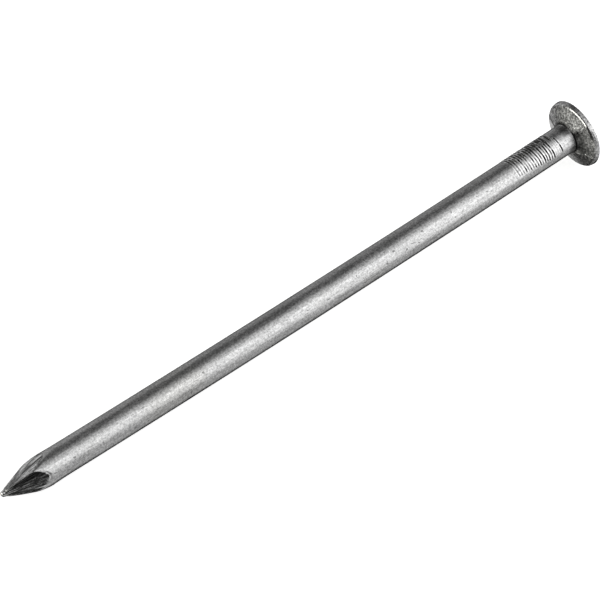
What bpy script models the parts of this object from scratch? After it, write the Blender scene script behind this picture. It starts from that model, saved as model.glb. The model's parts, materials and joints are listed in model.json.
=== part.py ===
"""A large round wire nail, cold headed from one length of bright drawn steel wire.

The nail is a single piece: a flat head with a conical underside, gripping
marks pressed round the wire below the head, a plain round shank and a
four-sided diamond point.  It lies on its side as it would on a table, on the
rim of its head and on the end of its shank.

Axes: +X runs from the point to the head, +Z is up, and the resting surface is
z = 0.  The origin is the middle of the bottom of the nail's bounding box.
Lengths are in metres.
"""

import math

import bmesh
import bpy
from mathutils import Matrix, Vector

MM = 0.001

# Driving dimensions
SHANK_DIAMETER = 5.6 * MM
OVERALL_LENGTH = 127.45 * MM
HEAD_DIAMETER = 12.8 * MM
HEAD_HEIGHT = 2.23 * MM
RIM_HEIGHT = 1.12 * MM
RIM_STRAIGHT = 0.86 * MM
RIM_FLARE = 0.37 * MM
UNDERHEAD_FILLET = 0.45 * MM
RIM_ROUNDING = 0.13 * MM

POINT_LENGTH = 8.75 * MM
POINT_FACETS = 4
POINT_FACET_ANGLE = math.radians(150.0)
TIP_HALF_WIDTH = 0.40 * MM
TIP_BLUNT_HALF_WIDTH = 0.16 * MM
TIP_BLUNT_SLOPE = math.radians(50.0)

GRIP_MARKS = 16
GRIP_PITCH = 0.552 * MM
GRIP_START = 111.58 * MM
LAST_MARK = 121.72 * MM
MARK_WIDTH = 0.34 * MM
MARK_DEPTH = 0.11 * MM
LIGHT_MARK_SHARE = 0.65

# The two gripping dies meet on a plane through the axis.  The wire stays
# smooth beside that plane, where the dies don't bite.
PARTING_ANGLE = math.radians(15.0)
SMOOTH_HALF_ANGLE = math.radians(16.0)
FADE_ANGLE = math.radians(20.0)

SIDES = 36
FILLET_STEPS = 4

SHANK_RADIUS = SHANK_DIAMETER / 2
HEAD_RADIUS = HEAD_DIAMETER / 2
SHANK_SHARP_ANGLE = math.radians(30.0)


def rounded_corner(before, corner, after, radius, steps):
    """Points of the arc that rounds the corner of a profile, in order."""
    to_before = (before - corner).normalized()
    to_after = (after - corner).normalized()
    half = to_before.angle(to_after) / 2
    centre = corner + (to_before + to_after).normalized() * (radius / math.sin(half))
    start = corner + to_before * (radius / math.tan(half)) - centre
    turn = -math.copysign(math.pi - 2 * half, to_before.cross(to_after))
    return [centre + Matrix.Rotation(turn * i / steps, 2) @ start for i in range(steps + 1)]


def head_profile():
    """Outline of the head from the shank to the strike face, as (station, radius) points."""
    top = OVERALL_LENGTH
    shank = Vector((top - HEAD_HEIGHT - 2 * MM, SHANK_RADIUS))
    neck = Vector((top - HEAD_HEIGHT, SHANK_RADIUS))
    cone_edge = Vector((top - RIM_HEIGHT, HEAD_RADIUS - RIM_FLARE))
    rim = Vector((top - RIM_STRAIGHT, HEAD_RADIUS))
    corner = Vector((top, HEAD_RADIUS))
    middle = Vector((top, 0.0))
    outline = rounded_corner(shank, neck, cone_edge, UNDERHEAD_FILLET, FILLET_STEPS)
    outline += rounded_corner(neck, cone_edge, rim, RIM_ROUNDING, 2)
    outline += [rim]
    outline += rounded_corner(rim, corner, middle, RIM_ROUNDING, 3)
    return outline


def bite(angle):
    """How deeply the gripping dies mark the wire at an angle, from 0 to 1."""
    from_parting = abs(math.remainder(angle - PARTING_ANGLE, math.pi))
    share = (from_parting - SMOOTH_HALF_ANGLE) / FADE_ANGLE
    share = min(max(share, 0.0), 1.0)
    return share * share * (3 - 2 * share)


def grip_stations():
    """(station, depth) pairs for the edges and the bottom of each gripping mark."""
    marks = [
        (GRIP_START + i * GRIP_PITCH, MARK_DEPTH * (LIGHT_MARK_SHARE if i % 2 else 1.0))
        for i in range(GRIP_MARKS)
    ]
    marks.append((LAST_MARK, MARK_DEPTH))
    pairs = []
    for middle, depth in marks:
        pairs += [
            (middle - MARK_WIDTH / 2, 0.0),
            (middle, depth),
            (middle + MARK_WIDTH / 2, 0.0),
        ]
    return pairs


def ring(bm, station, radius, depth=0.0):
    """A closed loop of vertices round the axis at one station, marked to a depth."""
    loop = []
    for i in range(SIDES):
        angle = 2 * math.pi * (i + 0.5) / SIDES
        r = radius - depth * bite(angle)
        loop.append(bm.verts.new((station, r * math.cos(angle), r * math.sin(angle))))
    return loop


def bridge(bm, first, second):
    """Quads between two rings."""
    for i in range(SIDES):
        j = (i + 1) % SIDES
        bm.faces.new((first[i], first[j], second[j], second[i]))


def headed_blank(bm):
    """The marked and headed wire, still square-cut at the point's end."""
    rings = [ring(bm, 0.0, SHANK_RADIUS)]
    rings += [ring(bm, s, SHANK_RADIUS, depth) for s, depth in grip_stations()]
    rings += [ring(bm, s, r) for s, r in head_profile()]
    for first, second in zip(rings, rings[1:]):
        bridge(bm, first, second)
    bm.faces.new(rings[0][::-1])
    bm.faces.new(rings[-1])
    bmesh.ops.recalc_face_normals(bm, faces=bm.faces)


def cut(bm, through, outward):
    """Cut away what lies beyond a plane and close the hole it leaves."""
    everything = bm.verts[:] + bm.edges[:] + bm.faces[:]
    found = bmesh.ops.bisect_plane(
        bm,
        geom=everything,
        dist=1e-9,
        plane_co=through,
        plane_no=outward,
        clear_outer=True,
    )
    edges = [e for e in found["geom_cut"] if isinstance(e, bmesh.types.BMEdge)]
    bmesh.ops.edgenet_fill(bm, edges=edges)


def pinch_point(bm):
    """Cut the four long facets of the point, and the short ones that blunt its tip."""
    slope = math.atan2(SHANK_RADIUS - TIP_HALF_WIDTH, POINT_LENGTH)
    for half_width, steepness in (
        (TIP_HALF_WIDTH, slope),
        (TIP_BLUNT_HALF_WIDTH, TIP_BLUNT_SLOPE),
    ):
        for k in range(POINT_FACETS):
            angle = POINT_FACET_ANGLE + 2 * math.pi * k / POINT_FACETS
            radial = Vector((0.0, math.cos(angle), math.sin(angle)))
            outward = radial * math.cos(steepness) - Vector((math.sin(steepness), 0, 0))
            cut(bm, radial * half_width, outward)


def rest_tilt(bm):
    """The angle that brings the shank's end down to the floor beside the head's rim."""
    foot = min(bm.verts, key=lambda v: (round(v.co.z, 7), v.co.x)).co
    behind = [v.co for v in bm.verts if v.co.x < foot.x - HEAD_HEIGHT]
    return min(math.atan2(co.z - foot.z, foot.x - co.x) for co in behind)


def lay_down(bm):
    """Tilt the nail to its rest and put the origin under the middle of its box."""
    bmesh.ops.rotate(
        bm,
        verts=bm.verts,
        cent=(0, 0, 0),
        matrix=Matrix.Rotation(-rest_tilt(bm), 3, "Y"),
    )
    low = Vector([min(v.co[i] for v in bm.verts) for i in range(3)])
    high = Vector([max(v.co[i] for v in bm.verts) for i in range(3)])
    middle = (low + high) / 2
    bmesh.ops.translate(bm, verts=bm.verts, vec=(-middle.x, -middle.y, -low.z))


def bright_steel():
    """Bright drawn steel wire, as it leaves the nail machine."""
    material = bpy.data.materials.new("bright_drawn_steel")
    material.use_nodes = True
    shader = material.node_tree.nodes["Principled BSDF"]
    shader.inputs["Base Color"].default_value = (0.56, 0.56, 0.55, 1.0)
    shader.inputs["Metallic"].default_value = 1.0
    shader.inputs["Roughness"].default_value = 0.38
    return material


def make_nail():
    """The nail as one closed solid."""
    bm = bmesh.new()
    headed_blank(bm)
    pinch_point(bm)
    lay_down(bm)
    mesh = bpy.data.meshes.new("wire_nail")
    bm.to_mesh(mesh)
    bm.free()
    mesh.shade_smooth()
    mesh.set_sharp_from_angle(angle=SHANK_SHARP_ANGLE)
    mesh.materials.append(bright_steel())
    nail = bpy.data.objects.new("wire_nail", mesh)
    bpy.context.scene.collection.objects.link(nail)
    return nail


def main():
    for old in list(bpy.data.objects):
        bpy.data.objects.remove(old)
    make_nail()


main()
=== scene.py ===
"""A large round wire nail in bright drawn steel, lying on a pale floor.

The nail is one piece of metal, so it is one mesh.  It is made as rings of
vertices round its own axis, from the tip to the strike face.  A station is a
distance along that axis from the tip.  An angle is measured round the axis,
from the row's +Y towards its +Z.  Lengths are in metres.
"""

import json
import math

import bpy
import numpy as np
from mathutils import Matrix, Vector


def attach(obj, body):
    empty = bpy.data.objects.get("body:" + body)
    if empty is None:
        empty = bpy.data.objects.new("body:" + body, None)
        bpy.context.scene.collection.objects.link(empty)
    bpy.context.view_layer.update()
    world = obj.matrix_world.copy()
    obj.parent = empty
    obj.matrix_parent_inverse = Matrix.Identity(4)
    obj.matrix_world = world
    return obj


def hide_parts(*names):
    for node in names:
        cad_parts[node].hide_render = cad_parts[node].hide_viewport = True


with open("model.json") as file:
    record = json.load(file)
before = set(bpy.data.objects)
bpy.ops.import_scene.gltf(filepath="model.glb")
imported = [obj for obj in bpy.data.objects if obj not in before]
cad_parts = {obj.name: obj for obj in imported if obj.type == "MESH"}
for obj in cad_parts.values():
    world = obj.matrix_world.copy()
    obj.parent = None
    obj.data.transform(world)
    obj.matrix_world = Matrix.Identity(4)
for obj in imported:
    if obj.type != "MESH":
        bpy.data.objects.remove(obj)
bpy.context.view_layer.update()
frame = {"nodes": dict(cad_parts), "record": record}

NODE = "wire_nail"
MM = 0.001

# ---------------------------------------------------------------- sizes

SHANK_RADIUS = 2.8 * MM
HEAD_RADIUS = 6.4 * MM
HEAD_HEIGHT = 2.23 * MM

# The wire is not quite straight: its middle and its ends stand off the axis, opposite ways.
BOW = 0.45 * MM
BOW_ANGLE = math.radians(215.0)
BOW_SHARE_AT_ENDS = 0.6
TIP_BEND = 0.21 * MM
TIP_BEND_REACH = 2.5 * MM

# The point's four facets: distance from the axis at the tip (mm), slope, edge rounding (mm).
FACET_ANGLE = math.radians(150.0)
FACETS = [(0.36, 0.308, 0.20), (0.42, 0.270, 0.16), (0.40, 0.272, 0.16), (0.41, 0.262, 0.60)]
STRIAE_DEPTH = 0.018 * MM
STRIAE_SPACING = 0.14
STRIAE_START = 3 * MM

# The facets end in a short stem with a small ball on it.
TIP_RADIUS = 0.62 * MM
STEM_RADIUS = 0.50 * MM
STEM_SLOPE = 0.14
STEM_LENGTH = 0.60 * MM
BALL_FLARE = 0.5
BALL_BLEND = 0.12 * MM

# The pinched metal swells the wire where the facets begin, most at one angle and opposite it.
SHOULDER = 7.9 * MM
SHOULDER_SWELL = 0.11 * MM
SHOULDER_REACH = 1.9 * MM
SHOULDER_ANGLE = math.radians(30.0)

# A die line: a faint crest that runs the whole length of the wire.
DIE_LINE_ANGLE = math.radians(122.5)
DIE_LINE_SLOPE = 0.03
DIE_LINE_REACH = 0.15
DIE_LINE_SINK = 0.15
UNEVEN_SHARE = 0.0012

# Gripping marks: pressed across the wire by two dies that meet at the parting angle.
GRIP_MARKS = 16
GRIP_PITCH = 0.552 * MM
GRIP_START = 111.58 * MM
COLLAR_MARK = 120.84 * MM
LAST_MARK = 121.72 * MM
MARK_HALF_WIDTH = 0.14 * MM
MARK_DEPTH = 0.06 * MM
MARK_LIP = 0.014 * MM
MARK_LEAN = 0.20 * MM
LAST_MARK_LEAN = 0.34 * MM
PARTING_ANGLE = math.radians(15.0)

# A shallow dent in the wire below the marks: station, angle, half length and half width.
DENT = (104.2 * MM, math.radians(108.0), 1.6 * MM, math.radians(14.0))
DENT_DEPTH = 0.035 * MM

# Small bruises on the wire: station (mm), angle (degrees), half length and half width (mm).
BRUISES = (
    (67.3, 149, 0.6, 0.14),
    (72.2, 153, 0.45, 0.12),
    (87.8, 153, 0.2, 0.2),
    (97.6, 165, 0.2, 0.2),
)

# Corners of the head's outline: distance below the strike face, and radius.
CONE_EDGE = (1.12 * MM, 6.03 * MM)
BEVEL_EDGE = (0.97 * MM, 6.18 * MM)
RIM_START = (0.84 * MM, 6.27 * MM)
RIM_ROUNDING = 0.09 * MM
HEAD_OFF_CENTRE = 0.16 * MM

# The head's two halves were shaped by two dies, which meet on two lines across its cone.
HEAD_PARTING_ANGLE = math.radians(8.0)
LOWER_PARTING_BEND = math.radians(21.0)

# The thin flash that filled the gap between the dies: height and half width.
UPPER_FLASH = (0.05 * MM, 0.12 * MM)
LOWER_FLASH = (0.15 * MM, 0.09 * MM)
POCKET_DEPTH = 0.16 * MM
FORGED_UNEVEN = 0.012 * MM

# How the head is out of round: angle and half width (degrees), and share of the radius.
LOBES = (
    (60, 28, 0.022),
    (12, 22, -0.016),
    (215, 20, 0.022),
    (280, 34, -0.075),
    (332, 26, -0.06),
)

# The chequer in the strike face.
CHEQUER_PITCH = 1.05 * MM
CHEQUER_HALF_LINE = 0.20 * MM
CHEQUER_DEPTH = 0.11 * MM
CHEQUER_RADIUS = 5.75 * MM
CHEQUER_ANGLE = 0.6

# How finely the mesh is divided.
RING_VERTICES = 190
BALL_RINGS = 10
POINT_RINGS = 84
SHANK_RINGS = 66
COLLAR_RINGS = 9
MARK_RING_SPACING = 0.056 * MM
HEAD_RING_SPACING = 0.1 * MM
RIM_RING_SPACING = 0.05 * MM

# ---------------------------------------------------------------- placing

mount = next(m for m in frame["record"]["mounts"] if m["name"] == "strike_face")
AXIS = Vector(mount["axis"]).normalized()
STRIKE_CENTRE = Vector(mount["pos_m"])
ACROSS = Vector((0.0, 1.0, 0.0))
ABOVE = AXIS.cross(ACROSS)

cad_stations = [AXIS.dot(v.co) for v in frame["nodes"][NODE].data.vertices]
LENGTH = max(cad_stations) - min(cad_stations)
TIP = STRIKE_CENTRE - AXIS * LENGTH
NECK = LENGTH - HEAD_HEIGHT


def smooth(x):
    """0 below 0, 1 above 1, and an S curve between."""
    x = np.clip(x, 0.0, 1.0)
    return x * x * (3 - 2 * x)


def hump(x, middle, half_width, power=2):
    """1 at the middle, falling smoothly to nothing a few half widths away."""
    return np.exp(-(np.abs((x - middle) / half_width) ** power))


def turned(angle, reference):
    """An angle less a reference, between -pi and pi."""
    return (angle - reference + np.pi) % (2 * np.pi) - np.pi


def past(angle, degrees):
    """How far an angle is past a reference given in degrees, between -pi and pi."""
    return turned(angle, np.radians(degrees))


def wander(x, seed, waves, shortest):
    """Smooth seeded noise of about -1 to 1, whose shortest wave is given in x's units."""
    rng = np.random.default_rng(seed)
    total = np.zeros_like(x)
    for _ in range(waves):
        wavelength = shortest * (1 + 3 * rng.random())
        total += np.sin(2 * np.pi * (x / wavelength + rng.random()))
    return total / math.sqrt(waves)


# ---------------------------------------------------------------- the wire


def section_angles():
    """Angles of the vertices of a ring: closer beside the die lines and the point's ridges."""
    ridges = FACET_ANGLE + np.pi / 4 + np.arange(4) * np.pi / 2
    partings = PARTING_ANGLE + np.arange(2) * np.pi
    close = [(ridge, 5.0, 1.4) for ridge in ridges]
    close += [(parting, 4.0, 3.0) for parting in partings]
    close += [(DIE_LINE_ANGLE, 3.0, 2.0)]
    fine = np.linspace(0, 2 * np.pi, 7200, endpoint=False)
    density = np.ones_like(fine)
    for middle, reach, share in close:
        density += share * hump(turned(fine, middle), 0, np.radians(reach))
    total = np.concatenate([[0], np.cumsum(density)])
    steps = np.arange(RING_VERTICES) * total[-1] / RING_VERTICES
    return np.interp(steps, total[:-1], fine)


def soft_minimum(a, b, width):
    """The smaller of two lengths, with the corner between them rounded over a width."""
    overlap = np.clip(1 - np.abs(a - b) / width, 0, 1)
    return np.minimum(a, b) - overlap**2 * width / 4


def shank_radius(s, angle):
    """Radius of the drawn wire: its die line, its slight unevenness and its swollen shoulder."""
    from_line = np.abs(turned(angle, DIE_LINE_ANGLE)) / DIE_LINE_REACH
    crest = DIE_LINE_SLOPE * DIE_LINE_REACH * SHANK_RADIUS * (np.exp(-from_line) - DIE_LINE_SINK)
    uneven = UNEVEN_SHARE * SHANK_RADIUS * wander(s, 5, 5, 14 * MM)
    swell = SHOULDER_SWELL * hump(s, SHOULDER, SHOULDER_REACH)
    swell = swell * (0.55 + 0.45 * np.cos(2 * (angle - SHOULDER_ANGLE)))
    return SHANK_RADIUS + crest + uneven + swell


def cut_facets(s, angle, radius):
    """The radius after the point's facets are pinched, and a mask of the facets."""
    mask = np.zeros_like(radius)
    for k, (start, slope, rounding) in enumerate(FACETS):
        off = turned(angle, FACET_ANGLE + k * np.pi / 2)
        facing = np.cos(np.clip(off, -1.4, 1.4))
        grain = wander(off + 0.05 * s / SHOULDER, 11 + k, 8, STRIAE_SPACING)
        striae = STRIAE_DEPTH * grain * smooth(s / STRIAE_START)
        here = (start * MM + slope * s + striae) / facing
        mask = np.maximum(mask, smooth((radius - here) / (0.10 * MM) + 0.5))
        radius = soft_minimum(radius, here, rounding * MM)
    return radius, mask


def leave_ball(s, radius, mask):
    """The radius and the facets' mask after the tip is left as a ball on a short stem."""
    stem = 1 - smooth((s - STEM_LENGTH) / STEM_LENGTH)
    radius = radius + (STEM_RADIUS + STEM_SLOPE * s - radius) * stem
    before = np.clip(TIP_RADIUS - s, 0, None)
    ball = np.sqrt(np.clip(TIP_RADIUS**2 - before**2, 0, None))
    ball = ball + BALL_FLARE * np.clip(s - TIP_RADIUS, 0, None)
    return soft_minimum(radius, ball, BALL_BLEND), mask * (1 - stem)


def die_bite(s, angle):
    """How firmly the gripping dies held the wire, 0 beside their partings and 1 elsewhere."""
    from_parting = np.abs(turned(2 * angle, 2 * PARTING_ANGLE)) / 2
    far_side = np.abs(turned(angle, PARTING_ANGLE)) > np.pi / 2
    clear = np.where(far_side, 36 - 16 * smooth((s - GRIP_START) / (10 * MM)), 6)
    return smooth((from_parting - np.radians(clear)) / np.radians(14))


def mark_places():
    """(station, strength, lean) of each gripping mark, from the point's end."""
    places = []
    for i in range(GRIP_MARKS):
        growth = 0.5 + 0.6 * i / (GRIP_MARKS - 1) + 0.15 * math.exp(-i)
        places.append((GRIP_START + i * GRIP_PITCH, growth * (1.0 if i % 2 else 0.62), MARK_LEAN))
    return places + [(COLLAR_MARK, 1.0, MARK_LEAN), (LAST_MARK, 0.8, LAST_MARK_LEAN)]


def grip_marks(s, angle):
    """Depth of the gripping marks, a mask of painted shade in their bottoms, strongest on the shaded
    rear, and a mask of painted highlight on the lips between them.
    """
    bite = die_bite(s, angle)
    # the rear of the wire is its shaded side: the marks are deeper there and their painted shade darker
    shaded_rear = smooth(-past(angle, 104) / np.radians(12))
    depth = np.zeros(np.broadcast_shapes(s.shape, angle.shape))
    mask = np.zeros_like(depth)
    painted_highlight = np.zeros_like(depth)
    rng = np.random.default_rng(31)
    for i, (place, share, lean) in enumerate(mark_places()):
        strength = share * (0.85 + 0.3 * rng.random())
        if place == COLLAR_MARK:
            strength = strength * shaded_rear
        strength = strength + (-0.7 if place == LAST_MARK else 0.7) * shaded_rear
        varied = strength * (1 + (0.3 + 0.4 * shaded_rear) * wander(angle, 80 + i, 4, 0.3))
        varied = np.clip(varied, 0.1, 1.8)
        wobble = 0.03 * MM * wander(angle, 40 + i, 4, 0.7) + lean * np.sin(past(angle, 125))
        x = np.abs(s - place - wobble) / MARK_HALF_WIDTH
        lip = hump(x, 1.7, 0.45)
        profile = MARK_DEPTH * np.clip(1 - x, 0, 1) - MARK_LIP * lip
        depth += bite * varied * (1 + 1.2 * shaded_rear) * profile
        # painted shade in the bottoms of the marks, and a painted highlight on the lips beside them
        wide = np.clip(0.9 + 0.6 * share - x / (1.15 + 0.6 * shaded_rear), 0, 1)
        mask = np.maximum(mask, bite * np.clip(varied, 0, 1.3) * wide)
        painted_highlight = np.maximum(painted_highlight, bite * np.clip(varied, 0.55, 1.3) * lip)
    return depth, mask, painted_highlight


def wire_form(s, angle):
    """Radius of the wire, its point and its gripping marks, with masks for the material."""
    radius, facet = cut_facets(s, angle, shank_radius(s, angle))
    radius, facet = leave_ball(s, radius, facet)
    depth, painted_groove_shade, painted_highlight = grip_marks(s, angle)
    dent_s, dent_angle, dent_length, dent_width = DENT
    dent = hump(s, dent_s, dent_length) * hump(turned(angle, dent_angle), 0, dent_width)
    # a painted highlight on one side of the tip's ball
    painted_tip_highlight = hump(past(angle, 105), 0, 0.9) * (1 - smooth((s - 0.4 * MM) / (0.3 * MM)))
    # besides the facets and the forged places, these masks carry painted shade and painted highlights
    masks = {
        "facet": facet,
        "painted_groove_shade": painted_groove_shade,
        "painted_highlight": np.maximum(painted_highlight, painted_tip_highlight),
        "forged": np.zeros_like(radius),
        "painted_crease_shade": np.zeros_like(radius),
        "painted_shade": wire_painted_shade(s, angle),
    }
    return radius - depth - DENT_DEPTH * dent, masks


def wire_painted_shade(s, angle):
    """A mask of painted shade on the wire: its collar under the head, away from the lit side, and a
    strip beneath it.
    """
    open_side = smooth((np.radians(34) - np.abs(past(angle, 145))) / 0.3)
    collar = smooth((s - NECK + 2.8 * MM) / (2.2 * MM)) * (1 - open_side)
    strip = hump(past(angle, 208), 0, 0.22) * smooth((s - 100 * MM) / (10 * MM))
    return np.maximum(collar, 0.9 * strip)


def wire_stations():
    """Stations of the rings from the tip to the neck."""
    point_end = SHOULDER + 1.6 * MM
    marks_start = GRIP_START - 0.6 * MM
    return np.concatenate([
        TIP_RADIUS * (1 - np.cos(np.linspace(0.2, np.pi / 2, BALL_RINGS, endpoint=False))),
        np.linspace(TIP_RADIUS, point_end, POINT_RINGS, endpoint=False),
        np.linspace(point_end, marks_start, SHANK_RINGS, endpoint=False),
        np.arange(marks_start, LAST_MARK + 0.4 * MM, MARK_RING_SPACING),
        np.linspace(LAST_MARK + 0.5 * MM, NECK - 0.45 * MM, COLLAR_RINGS),
    ])


# ---------------------------------------------------------------- the head


def rounded_corner(before, corner, after, radius, steps):
    """Points of the arc that rounds the corner of a profile, in order."""
    to_before = (before - corner).normalized()
    to_after = (after - corner).normalized()
    half = to_before.angle(to_after) / 2
    centre = corner + (to_before + to_after).normalized() * (radius / math.sin(half))
    start = corner + to_before * (radius / math.tan(half)) - centre
    turn = -math.copysign(math.pi - 2 * half, to_before.cross(to_after))
    return [centre + Matrix.Rotation(turn * i / steps, 2) @ start for i in range(steps + 1)]


def head_outline():
    """(station, radius) points of the head, from the neck to the middle of the strike face."""
    def below(pair):
        return Vector((LENGTH - pair[0], pair[1]))

    # each corner, with the radius that rounds it (mm) and the steps of its arc
    corners = [
        (Vector((NECK - 0.35 * MM, SHANK_RADIUS)), 0.0, 0),
        (Vector((NECK - 0.20 * MM, SHANK_RADIUS + 0.03 * MM)), 0.10, 3),
        (Vector((NECK - 0.05 * MM, SHANK_RADIUS - 0.10 * MM)), 0.03, 3),
        (below(CONE_EDGE), 0.035, 3),
        (below(BEVEL_EDGE), 0.04, 3),
        (below(RIM_START), 0.12, 3),
        (Vector((LENGTH, HEAD_RADIUS)), RIM_ROUNDING / MM, 5),
        (Vector((LENGTH, 0.12 * MM)), 0.0, 0),
    ]
    outline = [corners[0][0]]
    for (before, _, _), (corner, radius, steps), (after, _, _) in zip(corners, corners[1:], corners[2:]):
        arc = rounded_corner(before, corner, after, radius * MM, steps)
        at_rim = 5.9 * MM < outline[-1].y < 6.3 * MM
        spacing = RIM_RING_SPACING if at_rim else HEAD_RING_SPACING
        count = max(1, round((arc[0] - outline[-1]).length / spacing))
        outline += [outline[-1].lerp(arc[0], i / count) for i in range(1, count)] + arc
    count = round((outline[-1] - corners[-1][0]).length / HEAD_RING_SPACING)
    outline += [outline[-1].lerp(corners[-1][0], i / count) for i in range(1, count + 1)]
    return np.array([tuple(p) for p in outline])


def outline_normals(outline):
    """Unit normals of the outline, pointing out of the metal."""
    along = np.gradient(outline, axis=0)
    normals = np.stack([-along[:, 1], along[:, 0]], 1)
    return normals / np.linalg.norm(normals, axis=1)[:, None]


def from_lower_parting(r, angle):
    """How far an angle is past the head's lower parting line, which bends near the neck."""
    bend = LOWER_PARTING_BEND * (1 - smooth((r - 2.9 * MM) / (1.8 * MM)))
    return turned(angle, PARTING_ANGLE + np.pi - 0.05 + bend)


def head_relief(s, r, angle):
    """How far each point of the head stands out along its outline's normal."""
    cone = smooth((r - SHANK_RADIUS) / (0.35 * MM)) * (s < LENGTH - 0.3 * MM)

    upper = turned(angle, HEAD_PARTING_ANGLE)
    lower = from_lower_parting(r, angle)
    reach = smooth((r - SHANK_RADIUS) / (0.3 * MM)) * smooth((HEAD_RADIUS - r) / (0.4 * MM))
    ragged = 1 + 0.2 * wander(r + 0 * angle, 55, 4, 0.9 * MM)
    relief = np.zeros_like(ragged)
    for aside, (height, half_width) in ((upper, UPPER_FLASH), (lower, LOWER_FLASH)):
        relief += height * hump(aside * r, 0, half_width, 2.2) * reach * cone * ragged

    # a pocket beside the lower flash, at the neck
    relief -= POCKET_DEPTH * hump(past(angle, 188), 0, 0.2) * hump(r, 3.15 * MM, 0.45 * MM) * cone

    # forged surfaces are slightly uneven
    uneven = wander(angle + 90 * (s + r), 61, 6, 0.9) + 0.6 * wander(2 * angle - 300 * r, 62, 6, 0.8)
    relief += FORGED_UNEVEN * uneven * (cone + (s > LENGTH - 0.6 * MM))
    return relief + strike_relief(s, r, angle)


def strike_relief(s, r, angle):
    """The shallow chequer pressed into the strike face."""
    inside = smooth((CHEQUER_RADIUS - r) / (0.3 * MM)) * (s > LENGTH - 0.02 * MM)
    lines = 0.0
    for way in (CHEQUER_ANGLE, CHEQUER_ANGLE + np.pi / 2):
        pitches = r * np.cos(angle - way) / CHEQUER_PITCH
        away = np.abs((pitches + 0.5) % 1.0 - 0.5) * CHEQUER_PITCH
        lines = np.maximum(lines, np.clip(1 - away / CHEQUER_HALF_LINE, 0, 1))
    return -CHEQUER_DEPTH * smooth(lines * 1.15) * inside


def head_lobes(angle):
    """How far the head's outline is from round, as a share of its radius."""
    total = np.zeros_like(angle)
    for middle, width, share in LOBES:
        total += share * hump(past(angle, middle), 0, np.radians(width))
    return total


def head_painted_crease_shade(s, r, angle):
    """A mask of painted shade: dark lines at the head's neck, beside its bevel and along its parting."""
    # the painted shade at the neck is wider on the shaded rear side
    shaded_rear = smooth(-past(angle, 112) / 0.3)
    neck = hump(s, NECK - 0.03 * MM, (0.10 + 0.10 * shaded_rear) * MM) * (r < 3.4 * MM)
    neck = neck * (1 - 0.85 * hump(past(angle, 105), 0, 0.25))

    facing = past(angle, 122)
    line_at = LENGTH - (0.87 + 0.17 * smooth((facing + 0.05) / 0.25)) * MM
    above_bevel = hump(s, line_at, 0.065 * MM) * (r > 5.98 * MM) * hump(facing, 0, 0.62, 4)
    below_bevel = hump(s, LENGTH - 1.20 * MM, 0.05 * MM) * (r > 5.7 * MM)
    below_bevel = below_bevel * hump(facing, -0.35, 0.45, 4)

    parted = turned(angle, HEAD_PARTING_ANGLE - 0.03)
    parting = hump(parted * r, 0, 0.27 * MM) * smooth((r - SHANK_RADIUS) / (0.3 * MM))
    parting = parting * (s < LENGTH - 0.9 * MM)
    return neck + 1.1 * above_bevel + 0.40 * below_bevel + 1.2 * parting


def head_painted_highlights(s, r, angle):
    """A mask of painted highlights: the head's bevel, its lower flash and a strip of the cone."""
    bevel = hump(s, LENGTH - 1.045 * MM, 0.06 * MM) * (r > 5.98 * MM)
    bevel = bevel * hump(past(angle, 122), -0.25, 0.45, 4)
    flash = hump(from_lower_parting(r, angle) * r, 0, 0.10 * MM)
    flash = flash * smooth((r - 3.1 * MM) / (0.4 * MM)) * (s < LENGTH - 1.0 * MM)
    parted = turned(angle, HEAD_PARTING_ANGLE - 0.03)
    strip = smooth((-parted - 0.08) / 0.05) * smooth((parted + 1.5) / 0.4)
    strip = strip * (r > 3.4 * MM) * (s < LENGTH - 0.5 * MM)
    return strip + flash + bevel


def head_painted_shade(s, r, angle):
    """A mask of painted shade on the cone: its lower half, beside the neck and inside its edge."""
    below_flash = past(angle, 198)
    lower = 0.08 * smooth((below_flash - 0.02) / 0.08) * smooth((2.2 - below_flash) / 0.5)
    beside = past(angle, 120)
    near_neck = smooth((5.4 * MM - r) / (1.8 * MM)) * smooth((1.4 - beside) / 0.1)
    near_neck = near_neck * (0.55 * smooth((beside + 0.9) / 0.4) + 0.45 * smooth(beside / 0.25))
    edge = 0.6 * hump(r, 5.75 * MM, 0.13 * MM) * (s < LENGTH - 1.1 * MM)
    edge = edge * hump(past(angle, 98), 0, 0.4)
    return np.maximum(lower, np.maximum(near_neck, edge)) * (s < LENGTH - 1.0 * MM)


def head_form(angle):
    """Stations and radii of the head's rings, how far each is off centre, and the masks."""
    outline = head_outline()
    normals = outline_normals(outline)
    s, r = outline[:, :1], outline[:, 1:]
    relief = head_relief(s, r, angle)
    rise = smooth((r - SHANK_RADIUS) / (1.5 * MM))
    station = s + normals[:, :1] * relief
    radius = (r + normals[:, 1:] * relief) * (1 + head_lobes(angle) * rise)
    rim = smooth((r - 6.05 * MM) / (0.1 * MM)) * (s < LENGTH - 0.05 * MM)
    # besides the facets and the forged places, these masks carry painted shade and painted highlights
    masks = {
        "facet": np.zeros_like(radius),
        "painted_groove_shade": np.zeros_like(radius),
        "painted_highlight": head_painted_highlights(s, r, angle),
        "forged": smooth((radius - SHANK_RADIUS) / (0.3 * MM)) * (1 - 0.7 * rim),
        "painted_crease_shade": head_painted_crease_shade(s, r, angle),
        "painted_shade": head_painted_shade(s, r, angle),
    }
    return station, radius, HEAD_OFF_CENTRE * rise, masks


# ---------------------------------------------------------------- the mesh


def nail_faces(rings, count):
    """Quads between the rings, and fans that close the tip and the strike face."""
    first = np.arange(rings - 1)[:, None] * count + np.arange(count)[None, :]
    second = np.arange(rings - 1)[:, None] * count + (np.arange(count)[None, :] + 1) % count
    quads = np.stack([first, second, second + count, first + count], -1).reshape(-1, 4)
    tip = rings * count
    last = (rings - 1) * count
    tip_fan = [(tip, (j + 1) % count, j) for j in range(count)]
    face_fan = [(tip + 1, last + j, last + (j + 1) % count) for j in range(count)]
    return quads.tolist() + tip_fan + face_fan


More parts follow.
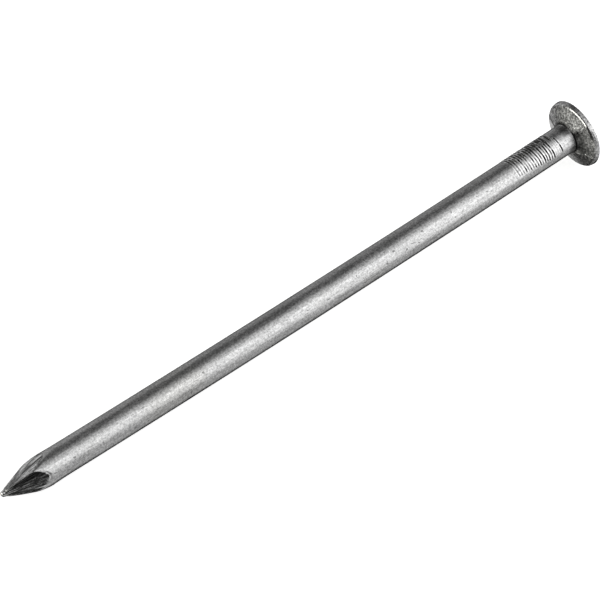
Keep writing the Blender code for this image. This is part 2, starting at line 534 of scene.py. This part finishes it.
def make_nail():
    """The nail as one closed mesh, with attributes that its material reads."""
    angle = section_angles()[None, :]
    wire_s = wire_stations()[:, None]
    wire_r, wire_masks = wire_form(wire_s, angle)
    wire_s = np.broadcast_to(wire_s, wire_r.shape)
    head_s, head_r, off_centre, head_masks = head_form(angle)

    all_s = np.concatenate([wire_s, head_s])
    all_r = np.concatenate([wire_r, head_r])
    off = np.concatenate([np.zeros((len(wire_s), 1)), off_centre])

    # the nail's own axes: along it, and across it with the bow and the head's offset
    along = 2 * all_s / LENGTH - 1
    bow = BOW * (1 - along**2 - BOW_SHARE_AT_ENDS) + off - TIP_BEND * np.exp(-all_s / TIP_BEND_REACH)
    y = all_r * np.cos(angle) + bow * math.cos(BOW_ANGLE)
    z = all_r * np.sin(angle) + bow * math.sin(BOW_ANGLE)
    tip = [0.0, bow[0, 0] * math.cos(BOW_ANGLE), bow[0, 0] * math.sin(BOW_ANGLE)]
    middle = [all_s[-1].mean(), y[-1].mean(), z[-1].mean()]
    local = np.concatenate([np.stack([all_s, y, z], -1).reshape(-1, 3), [tip, middle]])
    points = np.array(TIP) + local @ np.array([AXIS, ACROSS, ABOVE])

    # the material's own coordinates: the wire unrolled on a plain cylinder, the head as it is
    place_r = np.concatenate([np.full_like(wire_r, SHANK_RADIUS), head_r])
    place = np.stack([all_s, place_r * np.cos(angle), place_r * np.sin(angle)], -1).reshape(-1, 3)
    place = np.concatenate([place, local[-2:]])

    mesh = bpy.data.meshes.new("nail")
    mesh.from_pydata(points.tolist(), [], nail_faces(*all_s.shape))
    mesh.update()
    mesh.shade_smooth()
    for name in wire_masks:
        values = np.concatenate([wire_masks[name].ravel(), head_masks[name].ravel(), [0.0, 0.0]])
        layer = mesh.attributes.new(name, "FLOAT", "POINT")
        layer.data.foreach_set("value", values.astype(np.float32))
    layer = mesh.attributes.new("wire_place", "FLOAT_VECTOR", "POINT")
    layer.data.foreach_set("vector", place.astype(np.float32).ravel())
    nail = bpy.data.objects.new("nail", mesh)
    bpy.context.scene.collection.objects.link(nail)
    return nail


# ---------------------------------------------------------------- the steel

BUMP_HEIGHT = 0.007 * MM
LIGHT_STEEL = (0.57, 0.57, 0.57, 1)
STAINED_STEEL = (0.572, 0.57, 0.56, 1)


class Nodes:
    """Short calls for building a node tree."""

    def __init__(self, tree):
        self.tree = tree

    def add(self, kind, **settings):
        node = self.tree.nodes.new("ShaderNode" + kind)
        for key, value in settings.items():
            setattr(node, key, value)
        return node

    def feed(self, socket, value):
        if isinstance(value, bpy.types.NodeSocket):
            self.tree.links.new(value, socket)
        else:
            socket.default_value = value

    def math(self, operation, a, b=0.0):
        node = self.add("Math", operation=operation)
        self.feed(node.inputs[0], a)
        self.feed(node.inputs[1], b)
        return node.outputs[0]

    def product(self, *values):
        total = values[0]
        for value in values[1:]:
            total = self.math("MULTIPLY", total, value)
        return total

    def sum(self, *values):
        total = values[0]
        for value in values[1:]:
            total = self.math("ADD", total, value)
        return total

    def ramp(self, value, low, high, to_low=0.0, to_high=1.0):
        node = self.add("MapRange", interpolation_type="SMOOTHSTEP")
        for key, v in zip(("Value", "From Min", "From Max", "To Min", "To Max"),
                          (value, low, high, to_low, to_high)):
            self.feed(node.inputs[key], v)
        return node.outputs[0]

    def mix(self, factor, a, b):
        node = self.add("Mix", data_type="RGBA")
        self.feed(node.inputs[0], factor)
        self.feed(node.inputs[6], a)
        self.feed(node.inputs[7], b)
        return node.outputs[2]

    def mix_value(self, factor, a, b):
        node = self.add("Mix", data_type="FLOAT")
        self.feed(node.inputs[0], factor)
        self.feed(node.inputs[2], a)
        self.feed(node.inputs[3], b)
        return node.outputs[0]

    def noise(self, place, stretch, per_metre, detail=2.0, rough=0.5):
        scaled = self.add("VectorMath", operation="MULTIPLY")
        self.feed(scaled.inputs[0], place)
        scaled.inputs[1].default_value = stretch
        node = self.add("TexNoise")
        self.feed(node.inputs["Vector"], scaled.outputs[0])
        node.inputs["Scale"].default_value = per_metre
        node.inputs["Detail"].default_value = detail
        node.inputs["Roughness"].default_value = rough
        return node.outputs[0]

    def attribute(self, name, output="Fac"):
        return self.add("Attribute", attribute_name=name).outputs[output]


def bright_steel():
    """Drawn steel wire: fine speckle and pits, lengthwise drawing lines, painted shade in creases, grip
    marks and shaded places, and painted highlights on edges and lips.
    """
    material = bpy.data.materials.new("bright_drawn_steel")
    material.use_nodes = True
    tree = material.node_tree
    n = Nodes(tree)
    shader = tree.nodes["Principled BSDF"]
    place = n.attribute("wire_place", "Vector")
    facet = n.attribute("facet")
    painted_groove_shade = n.attribute("painted_groove_shade")
    forged = n.attribute("forged")
    painted_crease_shade = n.attribute("painted_crease_shade")
    painted_shade = n.attribute("painted_shade")
    painted_highlight = n.attribute("painted_highlight")

    # noises, each stretched along the wire by its first number, then its scale per metre
    grain = n.noise(place, (1, 1, 1), 2600, 3.0, 0.6)
    fine = n.noise(place, (1, 1, 1), 6500, 2.0, 0.6)
    lines = n.noise(place, (0.05, 1, 1), 4200, 3.0, 0.6)
    cloud = n.noise(place, (0.5, 1, 1), 260, 3.0, 0.55)
    striae = n.noise(place, (0.10, 1, 1), 1900, 3.0, 0.65)
    mottle = n.mix_value(forged, 0.5, n.noise(place, (1, 1, 1), 1500, 2.0, 0.7))
    pits = n.ramp(n.noise(place, (0.7, 1, 1), 1500, 2.0, 0.5), 0.66, 0.74)
    stain = n.ramp(n.noise(place, (0.6, 1, 1), 75, 2.0, 0.5), 0.56, 0.70)

    def spot(s_mm, degrees, long_mm, wide_mm):
        """The shade of a small bruise on the wire: dark at its middle and 1 outside it."""
        turn = math.radians(degrees)
        middle = Vector((s_mm * MM, SHANK_RADIUS * math.cos(turn), SHANK_RADIUS * math.sin(turn)))
        away = n.add("VectorMath", operation="SUBTRACT")
        n.feed(away.inputs[0], place)
        away.inputs[1].default_value = middle
        scaled = n.add("VectorMath", operation="MULTIPLY")
        n.feed(scaled.inputs[0], away.outputs[0])
        lengthwise, crosswise = 1 / (long_mm * MM), 1 / (wide_mm * MM)
        scaled.inputs[1].default_value = (lengthwise, crosswise, crosswise)
        length = n.add("VectorMath", operation="LENGTH")
        n.feed(length.inputs[0], scaled.outputs[0])
        return n.ramp(n.sum(length.outputs["Value"], n.product(grain, 0.8)), 0.7, 1.4, 0.35, 1.0)

    # everything that darkens or lightens the steel, painted shade and painted highlights among it
    value = n.product(
        *[spot(*bruise) for bruise in BRUISES],
        n.ramp(grain, 0.25, 0.75, 0.64, 1.28),
        n.ramp(fine, 0.25, 0.75, 0.84, 1.16),
        n.ramp(n.product(n.math("SUBTRACT", grain, 0.5), forged), -0.12, 0.12, 0.60, 1.40),
        n.ramp(lines, 0.3, 0.7, 0.84, 1.12),
        n.ramp(cloud, 0.3, 0.7, 0.94, 1.05),
        n.ramp(pits, 0.0, 1.0, 1.0, 0.5),
        # painted shade in the bottoms of the grip marks
        n.ramp(painted_groove_shade, 0.1, 0.8, 1.0, 0.10),
        # painted shade in the head's creases and along its parting
        n.ramp(painted_crease_shade, 0.1, 0.9, 1.0, 0.12),
        # painted shade on the wire's collar and on the cone
        n.ramp(painted_shade, 0.0, 1.0, 1.0, 0.36),
        n.ramp(mottle, 0.36, 0.64, 0.72, 1.28),
        # painted highlights on the bevel, the flash, the grip marks' lips and the tip
        n.ramp(painted_highlight, 0.0, 0.9, 1.0, 1.9),
        n.mix_value(facet, 1.0, n.ramp(striae, 0.45, 0.62, 0.16, 1.6)),
    )
    tint = n.mix(stain, LIGHT_STEEL, STAINED_STEEL)
    colour = n.add("VectorMath", operation="SCALE")
    n.feed(colour.inputs[0], tint)
    n.feed(colour.inputs["Scale"], value)
    n.feed(shader.inputs["Base Color"], colour.outputs[0])

    rough = n.sum(
        n.ramp(cloud, 0.3, 0.7, 0.22, 0.28),
        n.ramp(grain, 0.3, 0.7, -0.04, 0.04),
        n.ramp(pits, 0.0, 1.0, 0.0, 0.2),
        n.ramp(forged, 0.0, 1.0, 0.0, 0.04),
    )
    n.feed(shader.inputs["Roughness"], rough)
    shader.inputs["Metallic"].default_value = 1.0

    height = n.sum(
        n.product(grain, n.ramp(forged, 0.0, 1.0, 1.0, 2.8)),
        n.product(lines, 0.55),
        n.product(pits, -0.9),
        n.product(striae, facet, 14.0),
    )
    bump = n.add("Bump")
    bump.inputs["Strength"].default_value = 1.0
    bump.inputs["Distance"].default_value = BUMP_HEIGHT
    n.feed(bump.inputs["Height"], height)
    n.feed(shader.inputs["Normal"], bump.outputs[0])
    return material


# ---------------------------------------------------------------- studio

CAMERA_LENS = 182.0
CAMERA_AZIMUTH = math.radians(-39.51)
CAMERA_ELEVATION = math.radians(47.47)
# The camera is placed from a point of the axis near the tip: how far right, up and away
# that point lies in the camera's own axes, in shank diameters.
AIM_STATION = 0.14 * MM
AIM_IN_VIEW = Vector((-8.677, -5.707, 88.40)) * (2 * SHANK_RADIUS)


def make_camera():
    """The camera, level, looking down on the nail from the point's end."""
    heading = Vector((-math.sin(CAMERA_AZIMUTH), math.cos(CAMERA_AZIMUTH), 0.0))
    right = Vector((heading.y, -heading.x, 0.0))
    forward = heading * math.cos(CAMERA_ELEVATION) - Vector((0, 0, math.sin(CAMERA_ELEVATION)))
    up = right.cross(forward)
    bowed = ACROSS * math.cos(BOW_ANGLE) + ABOVE * math.sin(BOW_ANGLE)
    aim = TIP + AXIS * AIM_STATION - bowed * (BOW * BOW_SHARE_AT_ENDS)
    spot = aim - right * AIM_IN_VIEW.x - up * AIM_IN_VIEW.y - forward * AIM_IN_VIEW.z
    data = bpy.data.cameras.new("camera")
    data.lens = CAMERA_LENS
    data.clip_start = 0.01
    camera = bpy.data.objects.new("camera", data)
    axes = Matrix((right, up, -forward)).transposed()
    camera.matrix_world = Matrix.Translation(spot) @ axes.to_4x4()
    bpy.context.scene.collection.objects.link(camera)
    bpy.context.scene.camera = camera


FLOOR_REACH = 3.0
FLOOR_GLOW = 0.75


def make_floor():
    """A plain pale floor, nearly white by its own glow, that the nail doesn't reflect."""
    reach = FLOOR_REACH
    mesh = bpy.data.meshes.new("floor")
    corners = [(-reach, -reach, 0), (reach, -reach, 0), (reach, reach, 0), (-reach, reach, 0)]
    mesh.from_pydata(corners, [], [(0, 1, 2, 3)])
    floor = bpy.data.objects.new("floor", mesh)
    bpy.context.scene.collection.objects.link(floor)
    material = bpy.data.materials.new("floor")
    material.use_nodes = True
    shader = material.node_tree.nodes["Principled BSDF"]
    shader.inputs["Base Color"].default_value = (0.9, 0.9, 0.9, 1)
    shader.inputs["Roughness"].default_value = 1.0
    shader.inputs["Specular IOR Level"].default_value = 0.0
    shader.inputs["Emission Color"].default_value = (1, 1, 1, 1)
    shader.inputs["Emission Strength"].default_value = FLOOR_GLOW
    mesh.materials.append(material)
    floor.visible_glossy = False


# directions from the nail, and the power or the shade of what lies that way
UP = (0.0, 0.0, 1.0)
FRONT = (0.0, -1.0, 0.0)
CARD_SIDE = (0.866, 0.373, 0.332)
CARD_TOP = (0.0, -0.819, -0.574)
DARK_CORNER = (-0.6, -0.78, 0.15)
PANEL = (-0.92, 0.21, 0.32)
STRIP = (-0.90, 0.166, 0.41)
BACK_GLOW = (0.0, 0.98, 0.12)
AWAY = (0.43, 0.52, -0.74)
UNDER = (0.43, 0.07, -0.90)
FAR_GLINT = (0.05, 0.65, -0.76)
POINTWARD = (-1.0, 0.0, 0.0)

CARD_POWER = 1.42
PANEL_POWER = 0.70
STRIP_POWER = 3.4
BACK_POWER = 0.30
FAR_GLINT_POWER = 0.45
CORNER_SHADE = 0.93
HEAD_SHADE = 0.78
FLOOR_SHADE = 0.85
ROOM_DARK = 0.12
ROOM_WALL = 0.28
ROOM_FRONT = 0.24
PANEL_TINT = (1.0, 1.0, 0.945, 1.0)


def make_light():
    """Soft studio light: a low card, a panel and a strip past the point, and a grey room."""
    world = bpy.data.worlds.new("studio")
    bpy.context.scene.world = world
    world.use_nodes = True
    tree = world.node_tree
    n = Nodes(tree)
    way = n.add("TexCoord").outputs["Generated"]

    def toward(normal, low, high, to_low=0.0, to_high=1.0):
        """A soft edge along a plane through the nail; low and high are in degrees past it."""
        dot = n.add("VectorMath", operation="DOT_PRODUCT")
        n.feed(dot.inputs[0], way)
        dot.inputs[1].default_value = Vector(normal).normalized()
        low, high = math.sin(math.radians(low)), math.sin(math.radians(high))
        return n.ramp(dot.outputs["Value"], low, high, to_low, to_high)

    card = n.product(
        n.sum(toward(CARD_SIDE, -5.0, -0.5, 0.0, 0.7), toward(CARD_SIDE, -1.0, 20.0, 0.0, 0.3)),
        n.sum(toward(CARD_TOP, -5.0, 1.0, 0.0, 0.3), toward(CARD_TOP, -56.0, -5.0, 0.0, 0.7)),
        n.sum(toward(UP, -14.0, -8.0, 0.0, 0.72), toward(UP, -36.0, -13.0, 0.0, 0.28)),
        CARD_POWER,
    )
    pointward = toward(CARD_TOP, -5.0, -1.0, 1.0, 0.0)
    panel = n.product(
        toward(PANEL, 48.0, 62.0),
        toward(UP, 6.0, 20.0, 1.0, 0.0),
        pointward,
        PANEL_POWER,
    )
    strip = n.product(
        toward(STRIP, 60.0, 66.0),
        toward(UP, 14.0, 19.0),
        toward(UP, 32.0, 40.0, 1.0, 0.0),
        pointward,
        STRIP_POWER,
    )
    back = n.product(toward(BACK_GLOW, 50.0, 74.0, 0.0, BACK_POWER), toward(POINTWARD, -22.0, -12.0))
    glint = toward(FAR_GLINT, 68.0, 79.0, 0.0, FAR_GLINT_POWER)
    dark_corner = n.product(toward(DARK_CORNER, 30.0, 52.0), toward(UP, -6.0, 4.0), CORNER_SHADE)
    under_head = n.product(
        toward(UP, -52.0, -34.0, 1.0, 0.0),
        toward(POINTWARD, -8.0, 12.0),
        toward(CARD_TOP, -4.0, 4.0),
        HEAD_SHADE,
    )
    under_far_side = toward(AWAY, 40.0, 66.0, 0.0, FLOOR_SHADE)
    under_near_side = toward(UNDER, 64.0, 82.0, 0.0, FLOOR_SHADE)
    room = n.product(
        n.sum(
            toward(UP, 15.0, 48.0, ROOM_WALL, ROOM_DARK),
            n.product(toward(FRONT, -40.0, 40.0, 0.0, ROOM_FRONT), toward(UP, -20.0, 5.0, 1.0, 0.0)),
        ),
        n.math("SUBTRACT", 1.0, dark_corner),
        n.math("SUBTRACT", 1.0, under_head),
        n.math("SUBTRACT", 1.0, under_far_side),
        n.math("SUBTRACT", 1.0, under_near_side),
    )
    background = tree.nodes["Background"]
    tint = n.mix(toward(POINTWARD, 15.0, 35.0), (1, 1, 1, 1), PANEL_TINT)
    n.feed(background.inputs["Color"], tint)
    n.feed(background.inputs["Strength"], n.sum(card, panel, strip, back, glint, room))


make_camera()
nail = make_nail()
nail.data.materials.append(bright_steel())
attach(nail, "root")
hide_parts(NODE)
make_floor()
make_light()
bpy.context.scene.view_settings.view_transform = "Standard"
